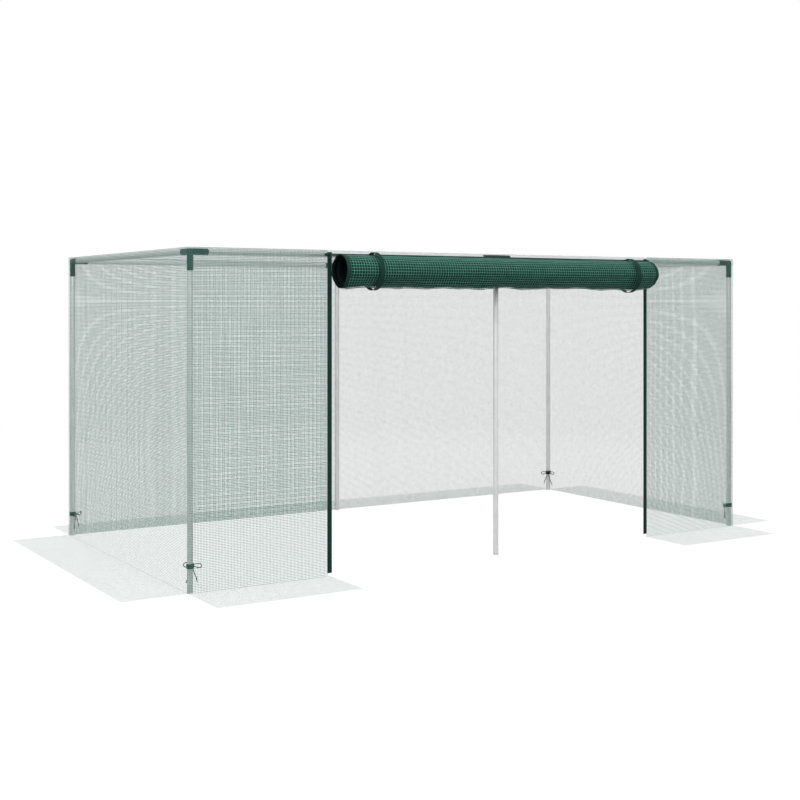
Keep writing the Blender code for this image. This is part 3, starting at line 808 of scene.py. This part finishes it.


# The roof takes the yarn with painted light.
slack_roof = {"swell": -NET_SWELL, "finish": lit_roof_finish, "Sag": ROOF_SAG}
roof_up = (0, 2 * HALF_Y, 0)
panels = [
    net_panel((-HALF_X, -HALF_Y, TOP), (HALF_X + MIDDLE_X, 0, 0), roof_up, 1, **slack_roof),
    net_panel((MIDDLE_X, -HALF_Y, TOP), (HALF_X - MIDDLE_X, 0, 0), roof_up, 2, **slack_roof),
]
net_piece("cover_roof", "net_roof", panels, (FRAME_LENGTH, FRAME_DEPTH))
# The back wall's right half and its hem take the yarn with painted light.
panels = [
    wall_panel(MIDDLE_X, HALF_Y, (-HALF_X - MIDDLE_X, 0, 0), 3),
    wall_panel(HALF_X, HALF_Y, (-HALF_X + MIDDLE_X, 0, 0), 4, finish=lit_yarn_finish),
    hem_panel(HALF_X, HALF_Y + HEM_OUT, (-2 * HALF_X, 0, 0), 5, finish=lit_yarn_finish),
]
net_piece("cover_back", "net_back", panels, (FRAME_LENGTH, WALL_FLAT))
# The right wall and its hem take the yarn with painted light.
for name, side, paint, yarn in (("left", -1, net_finish, LEFT_YARN), ("right", 1, lit_yarn_finish, NET_YARN)):
    x = side * HALF_X
    start = -side * HALF_Y
    across = (0, -2 * start, 0)
    seed = 6 + side
    panels = [
        wall_panel(x, start, across, seed, yarn=yarn, finish=paint),
        hem_panel(x + side * HEM_OUT, start, across, seed + HEM_SEED, finish=paint),
    ]
    net_piece("cover_" + name, "net_" + name, panels, (FRAME_DEPTH, WALL_FLAT))
fronts = {"left": (-HALF_X, ZIPS["left"] - ZIP_SIDE), "right": (ZIPS["right"] + ZIP_SIDE, HALF_X)}
for name, (start, end) in fronts.items():
    across = (end - start, 0, 0)
    seed = 10 + start
    panels = [
        wall_panel(start, -HALF_Y, across, seed, yarn=FRONT_YARN),
        hem_panel(start, -HALF_Y - HEM_OUT, across, seed + HEM_SEED),
    ]
    name = "front_" + name
    net_piece("cover_" + name, "net_" + name, panels, (end - start, WALL_FLAT))

# Skirts
# The same net, carried on outwards along the ground from the foot of each
# wall, so that stones or pegs can hold it down. It lies with small ripples.
SKIRT = 0.219
SKIRT_GAP = 0.001  # between the wall and its skirt
SKIRT_FOOT = 0.0007
SKIRT_SWELL = 0.007
SKIRT_WAVER = 0.003
SKIRT_SEED = 21
OUT_X = HALF_X + SKIRT_GAP
OUT_Y = HALF_Y + SKIRT_GAP
END_X = FRAME_LENGTH / 2
END_Y = FRAME_DEPTH / 2

skirt_finish = yarn_finish("skirt_yarn", (0.47, 0.55, 0.53))
# The left and the front end of each skirt, and its size along x and y.
skirts = {
    "back": (-END_X, OUT_Y, FRAME_LENGTH, SKIRT),
    "left": (-OUT_X - SKIRT, -END_Y, SKIRT, FRAME_DEPTH),
    "right": (OUT_X, -END_Y, SKIRT, FRAME_DEPTH),
    "front_left": (-END_X, -OUT_Y - SKIRT, END_X + ZIPS["left"], SKIRT),
    "front_right": (ZIPS["right"], -OUT_Y - SKIRT, END_X - ZIPS["right"], SKIRT),
}
for number, (name, (x, y, size_x, size_y)) in enumerate(skirts.items()):
    ways = ((size_x, 0, 0), (0, size_y, 0))
    limp = {"swell": SKIRT_SWELL, "finish": skirt_finish, "Waver": SKIRT_WAVER}
    panels = [net_panel((x, y, SKIRT_FOOT), *ways, SKIRT_SEED + number, **limp)]
    flat = tuple(Vector(way).length for way in ways)
    net_piece("cover_skirt_" + name, "skirt_" + name, panels, flat)

# Zips
# A woven tape up each side of the door with a coil of nylon teeth along its
# middle. The slider's pull hangs on a pin between two ears.
TAPE_WIDTH = 0.017
TAPE_HALF = 0.0007  # half its thickness
TAPE_FOOT = 0.011
TAPE_HEAD = 1.087
TAPE_Y = -0.60105
COIL_Y = -0.60280
COIL_FOOT = 0.013
COIL_HEAD = 1.0742
COIL_END = 0.001  # from the coil's end to its last tooth
TOOTH_PITCH = 0.0016
TOOTH = (0.0040, 0.0013, 0.0017)
RIB_BUMP = 0.00025
RIB_STRENGTH = 0.5
RIB_SHARE = 0.7  # ribs to each thread that crosses them
SHARP_METAL = math.radians(40)
SMALL_EASE = 0.0003  # the softened edges of soft and of small pieces
SAME_PLACE = 0.00001
SAME_PLANE = 0.02


def woven(name, colour, rows):
    """Cloth tape: ribs across it every so often, crossed by finer threads."""
    made = new_finish(name, colour, roughness=0.72, spread=0.15, grain=90, Specular_IOR_Level=0.15)
    tree = made.node_tree
    number = sums(tree)
    where = lay(tree, "ShaderNodeTexCoord").outputs["Object"]
    split = lay(tree, "ShaderNodeSeparateXYZ", {0: where}).outputs
    waves = []
    for axis, scale in zip(split, (rows, rows, rows * RIB_SHARE)):
        waves.append(number("SINE", number("MULTIPLY", axis, scale * math.tau)))
    total = number("ADD", number("MULTIPLY", waves[0], waves[1]), waves[2])
    relief = lay(tree, "ShaderNodeBump", {"Height": total, "Distance": RIB_BUMP, "Strength": RIB_STRENGTH})
    tree.links.new(relief.outputs[0], tree.nodes["Principled BSDF"].inputs["Normal"])
    return made


def tooth_tree():
    """Teeth at an even pitch up a line, each a small bead."""
    tree, given, _ = new_tree("zip_teeth", ("Foot", "Head", "Size"), ("Pitch",))
    run = lay(tree, "GeometryNodeCurvePrimitiveLine", {"Start": given["Foot"], "End": given["Head"]})
    apart = {"Curve": run, "Length": given["Pitch"]}
    feet = lay(tree, "GeometryNodeCurveToPoints", apart, mode="LENGTH")
    bead = lay(tree, "GeometryNodeMeshUVSphere", {"Segments": 8, "Rings": 5, "Radius": 0.5})
    sized = lay(tree, "GeometryNodeTransform", {"Geometry": bead, "Scale": given["Size"]})
    each = lay(tree, "GeometryNodeInstanceOnPoints", {"Points": feet, "Instance": sized})
    real = lay(tree, "GeometryNodeRealizeInstances", {0: each})
    painted_end(tree, real, given["Material"])
    return tree


def soft_block(low, high, round_by=SMALL_EASE):
    """A box between two corners with softened edges, as a bmesh."""
    low = Vector(low)
    high = Vector(high)
    shape = bmesh.new()
    bmesh.ops.create_cube(shape, size=1.0)
    bmesh.ops.scale(shape, vec=high - low, verts=shape.verts)
    bmesh.ops.translate(shape, vec=(low + high) / 2, verts=shape.verts)
    bmesh.ops.bevel(shape, geom=shape.edges[:], offset=round_by, segments=2, profile=0.5, affect="EDGES")
    return shape


def dressed(node):
    """A CAD node's own shape as a piece, with flat faces whole and edges eased."""
    shape = bmesh.new()
    shape.from_mesh(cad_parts[node].data)
    bmesh.ops.remove_doubles(shape, verts=shape.verts, dist=SAME_PLACE)
    bmesh.ops.dissolve_limit(shape, angle_limit=SAME_PLANE, verts=shape.verts, edges=shape.edges)
    made = bpy.data.meshes.new(node)
    shape.to_mesh(made)
    shape.free()
    piece = add_piece("dressed_" + node, made, metal_finish, node, [node])
    ease = piece.modifiers.new("eased", "BEVEL")
    ease.width = SMALL_EASE
    ease.segments = 2
    ease.limit_method = "ANGLE"
    ease.angle_limit = SHARP_METAL


tape_finish = woven("zip_tape_weave", (0.011, 0.042, 0.034), rows=900)
tooth_finish = new_finish("zip_nylon", (0.010, 0.034, 0.028), 0.45, spread=0.1, Specular_IOR_Level=0.25)
metal_finish = new_finish(
    "zip_enamel", (0.016, 0.032, 0.030), 0.32, spread=0.1, grain=200, bump=0.00003, bump_grain=1500
)
teeth = tooth_tree()
for name, zip_x in ZIPS.items():
    low = (zip_x - TAPE_WIDTH / 2, TAPE_Y - TAPE_HALF, TAPE_FOOT)
    high = (zip_x + TAPE_WIDTH / 2, TAPE_Y + TAPE_HALF, TAPE_HEAD)
    mesh = mesh_of(soft_block(low, high), "tape")
    tape = add_piece("tape_" + name, mesh, tape_finish, "cage", ["zip_tape_" + name])
    mesh = grown(
        teeth,
        {
            "Foot": (zip_x, COIL_Y, COIL_FOOT + COIL_END),
            "Head": (zip_x, COIL_Y, COIL_HEAD - COIL_END),
            "Size": TOOTH,
            "Pitch": TOOTH_PITCH,
            "Material": tooth_finish,
        },
    )
    mesh.shade_smooth()
    add_piece("teeth_" + name, mesh, tooth_finish, "cage", ["zip_coil_" + name])
    dressed("zip_slider_" + name)
    dressed("zip_pull_" + name)

# Header binding
# A folded band of webbing sewn along the top of the door. It holds the top
# edge of the door's net and the ends of both straps.
HEADER_PAST = 0.0185  # how far it runs on past the middle of each zip
HEADER_FRONT = -0.60355
HEADER_BACK = -0.60215
HEADER_FOOT = 1.0745
HEADER_HEAD = 1.0825
HEADER_EASE = 0.0004

low = (ZIPS["left"] - HEADER_PAST, HEADER_FRONT, HEADER_FOOT)
high = (ZIPS["right"] + HEADER_PAST, HEADER_BACK, HEADER_HEAD)
mesh = mesh_of(soft_block(low, high, round_by=HEADER_EASE), "binding")
webbing_finish = woven("webbing", (0.007, 0.042, 0.031), rows=700)
add_piece("binding", mesh, webbing_finish, "cage", ["door_header"])

# Rolled door
# The door's net is wound outwards and up to just over three turns round an
# open core. Its threads show over a near-black cloth, painted shade for the roll's inside, with tape along
# both ends.
ROLL_X = (-0.6870, 0.6865)
ROLL_AXIS_Y = -0.6609
ROLL_AXIS_Z = 1.0220
ROLL_RADIUS = 0.0562
ROLL_RISE = 0.0012
ROLL_TURNS = 3.3
ROLL_PITCH = 0.0022  # how much nearer the axis each turn lies
ROLL_CLOTH = 0.0005
ROLL_SETTLE = 0.0016  # how much narrower and lower it lies away from its left end
SETTLE_RUN = 0.35  # and how far from that end this is reached
HOOP_STEPS = 36.0  # for each turn
LEVEL_STEP = 0.02
END_TAPE = 0.015
END_TAPE_CLOTH = 0.0009
LAYER_GAP = 0.0004  # the net lies this far inside the mean radius, and the tapes outside
DOOR_PITCH = 0.0102
DOOR_YARN = 0.0021
DOOR_THICKNESS = 0.0005
THREAD_TURNS = 1.12
THREAD_LIFT = 0.0007  # of the threads, over the layer under them
THREAD_DROOP = 0.0045  # of the threads under the roll
SLACK = 0.020  # the scale of the roll's dents
SLACK_LEVEL = 0.6  # the noise value that means no dent
SLACK_ABOVE = 0.35  # the share of the dents that the roll's upper side has too
DENT_ALONG = 6.0
DENT_DEEP = 0.8
DENT_GRAIN = 1.3
CREASE_GRAIN = 0.5
CREASE_START = 0.37  # of a turn
CREASE_DRIFT = 0.09
CREASE_WIDTH = 0.045
CREASE_DEPTH = 0.0040
# Painted shade: the roll's cloth and end tapes turn nearly black over the layers under the outermost one.
PAINTED_SHADE_FROM = 0.95  # in turns, where the layers under the outermost one begin
PAINTED_SHADE_TO = 1.15
PAINTED_SHADE = (0.0015, 0.004, 0.004, 1)


def roll_tree():
    """A spiral of yarns both ways, or of plain cloth, over one turn or more."""
    tree, given, number = new_tree(
        "rolled_net",
        (),
        ("Cloth", "Left", "Length", "Radius", "Turns", "Narrowing")
        + ("Pitch", "Yarn", "Slack", "Lift", "Droop"),
    )

    def times(a, b):
        return number("MULTIPLY", a, b)

    run = times(times(given["Turns"], math.tau), given["Radius"])
    hoop_steps = number("ADD", number("ROUND", times(given["Turns"], HOOP_STEPS)), 1.0)
    level_steps = number("ADD", number("ROUND", number("DIVIDE", given["Length"], LEVEL_STEP)), 1.0)
    sets = (
        ((1, 0, 0), given["Length"], given["Pitch"], given["Yarn"], hoop_steps),
        ((0, 1, 0), run, given["Pitch"], given["Yarn"], level_steps),
    )
    threads = yarns(tree, number, sets, DOOR_THICKNESS)
    square = {"Size X": 1.0, "Size Y": 1.0, "Vertices X": level_steps, "Vertices Y": hoop_steps}
    cloth = lay(tree, "GeometryNodeMeshGrid", square)
    cloth = lay(tree, "GeometryNodeTransform", {"Geometry": cloth, "Translation": (0.5, 0.5, 0)})

    def wound(shape, lift, droop):
        """The unit square wound up, with its dents, its crease and its settling."""
        here = lay(tree, "GeometryNodeInputPosition")
        along, around, depth = lay(tree, "ShaderNodeSeparateXYZ", {0: here}).outputs
        turns = times(around, given["Turns"])
        x = number("ADD", given["Left"], times(along, given["Length"]))
        angle = times(turns, math.tau)
        sine = number("SINE", angle)
        cosine = number("COSINE", angle)
        radius = number("SUBTRACT", given["Radius"], times(turns, given["Narrowing"]))
        radius = number("ADD", number("ADD", radius, lift), depth)
        settle = lay(
            tree,
            "ShaderNodeMapRange",
            {"Value": x, "From Min": ROLL_X[0], "From Max": ROLL_X[0] + SETTLE_RUN, "To Max": ROLL_SETTLE},
            interpolation_type="SMOOTHSTEP",
        )
        radius = number("SUBTRACT", radius, settle)

        low = number("MAXIMUM", sine, 0.0)
        radius = number("ADD", radius, times(number("POWER", low, 4.0), droop))
        stretched = {0: times(x, DENT_ALONG), 1: times(cosine, DENT_DEEP), 2: sine}
        spot = lay(tree, "ShaderNodeCombineXYZ", stretched)
        slack = number("SUBTRACT", noise(tree, spot, DENT_GRAIN, 2.0), SLACK_LEVEL)
        slack = times(times(slack, given["Slack"]), number("ADD", SLACK_ABOVE, low))
        radius = number("ADD", radius, slack)

        crease = number("ADD", CREASE_START, times(noise(tree, spot, CREASE_GRAIN, 1.0), CREASE_DRIFT))
        off = number("DIVIDE", number("SUBTRACT", number("FRACT", turns), crease), CREASE_WIDTH)
        fold = number("EXPONENT", times(times(off, off), -1.0))
        radius = number("SUBTRACT", radius, times(fold, CREASE_DEPTH))

        y = number("ADD", number("ADD", ROLL_AXIS_Y, settle), times(radius, cosine))
        middle_z = number("SUBTRACT", ROLL_AXIS_Z + ROLL_RISE, settle)
        z = number("SUBTRACT", middle_z, times(radius, sine))
        place = lay(tree, "ShaderNodeCombineXYZ", {0: x, 1: y, 2: z})
        layer = {"Geometry": shape, "Name": "layer", "Value": turns}
        marked = lay(tree, "GeometryNodeStoreNamedAttribute", layer)
        return lay(tree, "GeometryNodeSetPosition", {"Geometry": marked, "Position": place})

    open_net = wound(threads, given["Lift"], given["Droop"])
    plain = wound(cloth, 0.0, 0.0)
    choice = {"Switch": number("GREATER_THAN", given["Cloth"], 0.5), "False": open_net, "True": plain}
    chosen = lay(tree, "GeometryNodeSwitch", choice, input_type="GEOMETRY")
    painted_end(tree, chosen, given["Material"])
    return tree


def add_painted_shade(finish):
    """The finish, with painted shade: nearly black on the layers under the outermost one."""
    tree = finish.node_tree
    shader = tree.nodes["Principled BSDF"]
    plain = shader.inputs["Base Color"].links[0].from_socket
    layer = lay(tree, "ShaderNodeAttribute", attribute_name="layer").outputs["Fac"]
    under = lay(tree, "ShaderNodeMapRange", {"Value": layer, "From Min": PAINTED_SHADE_FROM, "From Max": PAINTED_SHADE_TO})
    shade = lay(tree, "ShaderNodeMix", {0: under, 6: plain, 7: PAINTED_SHADE}, data_type="RGBA")
    tree.links.new(shade.outputs[2], shader.inputs["Base Color"])
    shader.inputs["Specular IOR Level"].default_value = 0.1
    return finish


def thicken(piece, thickness):
    """Gives a sheet its thickness, half to either side."""
    wall = piece.modifiers.new("cloth", "SOLIDIFY")
    wall.thickness = thickness
    wall.offset = 0


thread_finish = new_finish(
    "door_yarn", (0.070, 0.246, 0.185), 0.5, spread=0.18, grain=70, Specular_IOR_Level=0.25
)
# Painted shade: the cloth under the threads is near-black green for the shade inside the roll, and nearly
# black on its inner layers.
shade_cloth_finish = add_painted_shade(new_finish("door_shade_cloth", (0.005, 0.026, 0.020), 0.8, spread=0.3, grain=160))
# The end tapes' own green, with painted shade nearly black on their inner layers.
end_tape_finish = add_painted_shade(woven("door_tape_weave", (0.016, 0.056, 0.044), rows=900))
rolled = roll_tree()
roll_sizes = {
    "Left": ROLL_X[0] + END_TAPE,
    "Length": ROLL_X[1] - ROLL_X[0] - 2 * END_TAPE,
    "Radius": ROLL_RADIUS - LAYER_GAP,
    "Turns": ROLL_TURNS,
    "Narrowing": ROLL_PITCH,
    "Cloth": 1.0,
    "Pitch": DOOR_PITCH,
    "Yarn": DOOR_YARN,
    "Slack": SLACK,
    "Lift": THREAD_LIFT,
    "Droop": THREAD_DROOP,
    "Material": shade_cloth_finish,
}
mesh = grown(rolled, roll_sizes)
mesh.shade_smooth()
rolled_net = add_piece("rolled_net", mesh, shade_cloth_finish, "door_roll", ["door_roll"])
thicken(rolled_net, ROLL_CLOTH)
mesh = grown(rolled, {**roll_sizes, "Cloth": 0.0, "Turns": THREAD_TURNS, "Material": thread_finish})
threads = add_piece("rolled_threads", mesh, thread_finish, "door_roll")
tape_sizes = {"Length": END_TAPE, "Radius": ROLL_RADIUS + LAYER_GAP, "Material": end_tape_finish}
for name, left in (("left", ROLL_X[0]), ("right", ROLL_X[1] - END_TAPE)):
    mesh = grown(rolled, {**roll_sizes, **tape_sizes, "Left": left})
    mesh.shade_smooth()
    node = "door_tape_" + name
    edge = add_piece("rolled_tape_" + name, mesh, end_tape_finish, "door_roll", [node])
    thicken(edge, END_TAPE_CLOTH)

# Hanging strip
# The short run of the door's net between the binding and the roll. Its level
# yarns lie close together at rest.
STRIP = 0.0580
STRIP_Y = -0.6045
STRIP_FOOT = 1.0223
STRIP_SEED = 31
DOOR_DROP = 0.95
CLOSED = STRIP / (STRIP + DOOR_DROP)

strip = net_panel(
    (ROLL_X[0], STRIP_Y, STRIP_FOOT),
    (ROLL_X[1] - ROLL_X[0], 0, 0),
    (0, 0, STRIP),
    STRIP_SEED,
    swell=0.0,
    **{"Waver": 0.0, "Up pitch": NET_PITCH * CLOSED, "Up yarn": NET_YARN * CLOSED},
)
hanging = put("door_strip", strip)
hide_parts("door_net")
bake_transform(hanging)

# Roll straps
# Two loops of webbing, sewn to the binding at both ends and closed round the
# roll with some slack.
STRAPS = {"left": -0.557, "right": 0.580}
STRAP_WIDTH = 0.018
STRAP_CLOTH = 0.0012
STRAP_ROWS = (0, 0.08, 0.5, 0.92, 1)  # across the webbing
STRAP_RADIUS = 0.0626
STRAP_Z = 1.0238
STRAP_DROP = {"left": 0.0, "right": 0.003}  # the loop's middle, below its place at the left
STRAP_SAG = {"left": 0.002, "right": 0.003}  # the loop's foot, below a round loop's
STRAP_FRONT_Y = -0.6061
STRAP_BACK_Y = -0.6030
STRAP_BACK_Z = 1.0742
STRAP_STEPS = 48
LOOP_START = math.radians(96)

# From the binding to the loop's top, as shares of the run and of the rise.
STRAP_LEAD = [(0, 0.20), (0.10, 0.05), (0.35, 0.02), (0.62, 0.35), (0.84, 0.70), (0.98, 0.93)]


def strap_line(drop, sag):
    """A strap from the front of the binding, over and round the roll, to its back."""
    middle_z = STRAP_Z - drop
    rise = middle_z + STRAP_RADIUS - HEADER_FOOT
    run = STRAP_FRONT_Y - ROLL_AXIS_Y
    line = [(STRAP_FRONT_Y - run * out, HEADER_FOOT + rise * up) for out, up in STRAP_LEAD]
    last = 2 * math.pi - math.acos((STRAP_BACK_Y - ROLL_AXIS_Y) / STRAP_RADIUS)
    for step in range(STRAP_STEPS + 1):
        angle = LOOP_START + (last - LOOP_START) * step / STRAP_STEPS
        hang = sag * max(0.0, -math.sin(angle)) ** 3
        y = ROLL_AXIS_Y + STRAP_RADIUS * math.cos(angle)
        line.append((y, middle_z + STRAP_RADIUS * math.sin(angle) - hang))
    line.append((STRAP_BACK_Y, STRAP_BACK_Z))
    return line


for name, x in STRAPS.items():
    shape = bmesh.new()
    line = strap_line(STRAP_DROP[name], STRAP_SAG[name])
    rows = []
    for y, z in line:
        rows.append([shape.verts.new((x + STRAP_WIDTH * (share - 0.5), y, z)) for share in STRAP_ROWS])
    for a, b in zip(rows, rows[1:]):
        for step in range(len(STRAP_ROWS) - 1):
            shape.faces.new((a[step], a[step + 1], b[step + 1], b[step]))
    mesh = mesh_of(shape, "strap")
    strap = add_piece("strap_" + name, mesh, webbing_finish, "cage", ["roll_strap_" + name])
    thicken(strap, STRAP_CLOTH)
    strap.modifiers["cloth"].use_even_offset = True
    flat = final_mesh(strap)
    strap.modifiers.clear()
    strap.data = flat
    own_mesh(strap)
    long = sum(math.dist(a, b) for a, b in zip(line, line[1:]))

low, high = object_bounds()
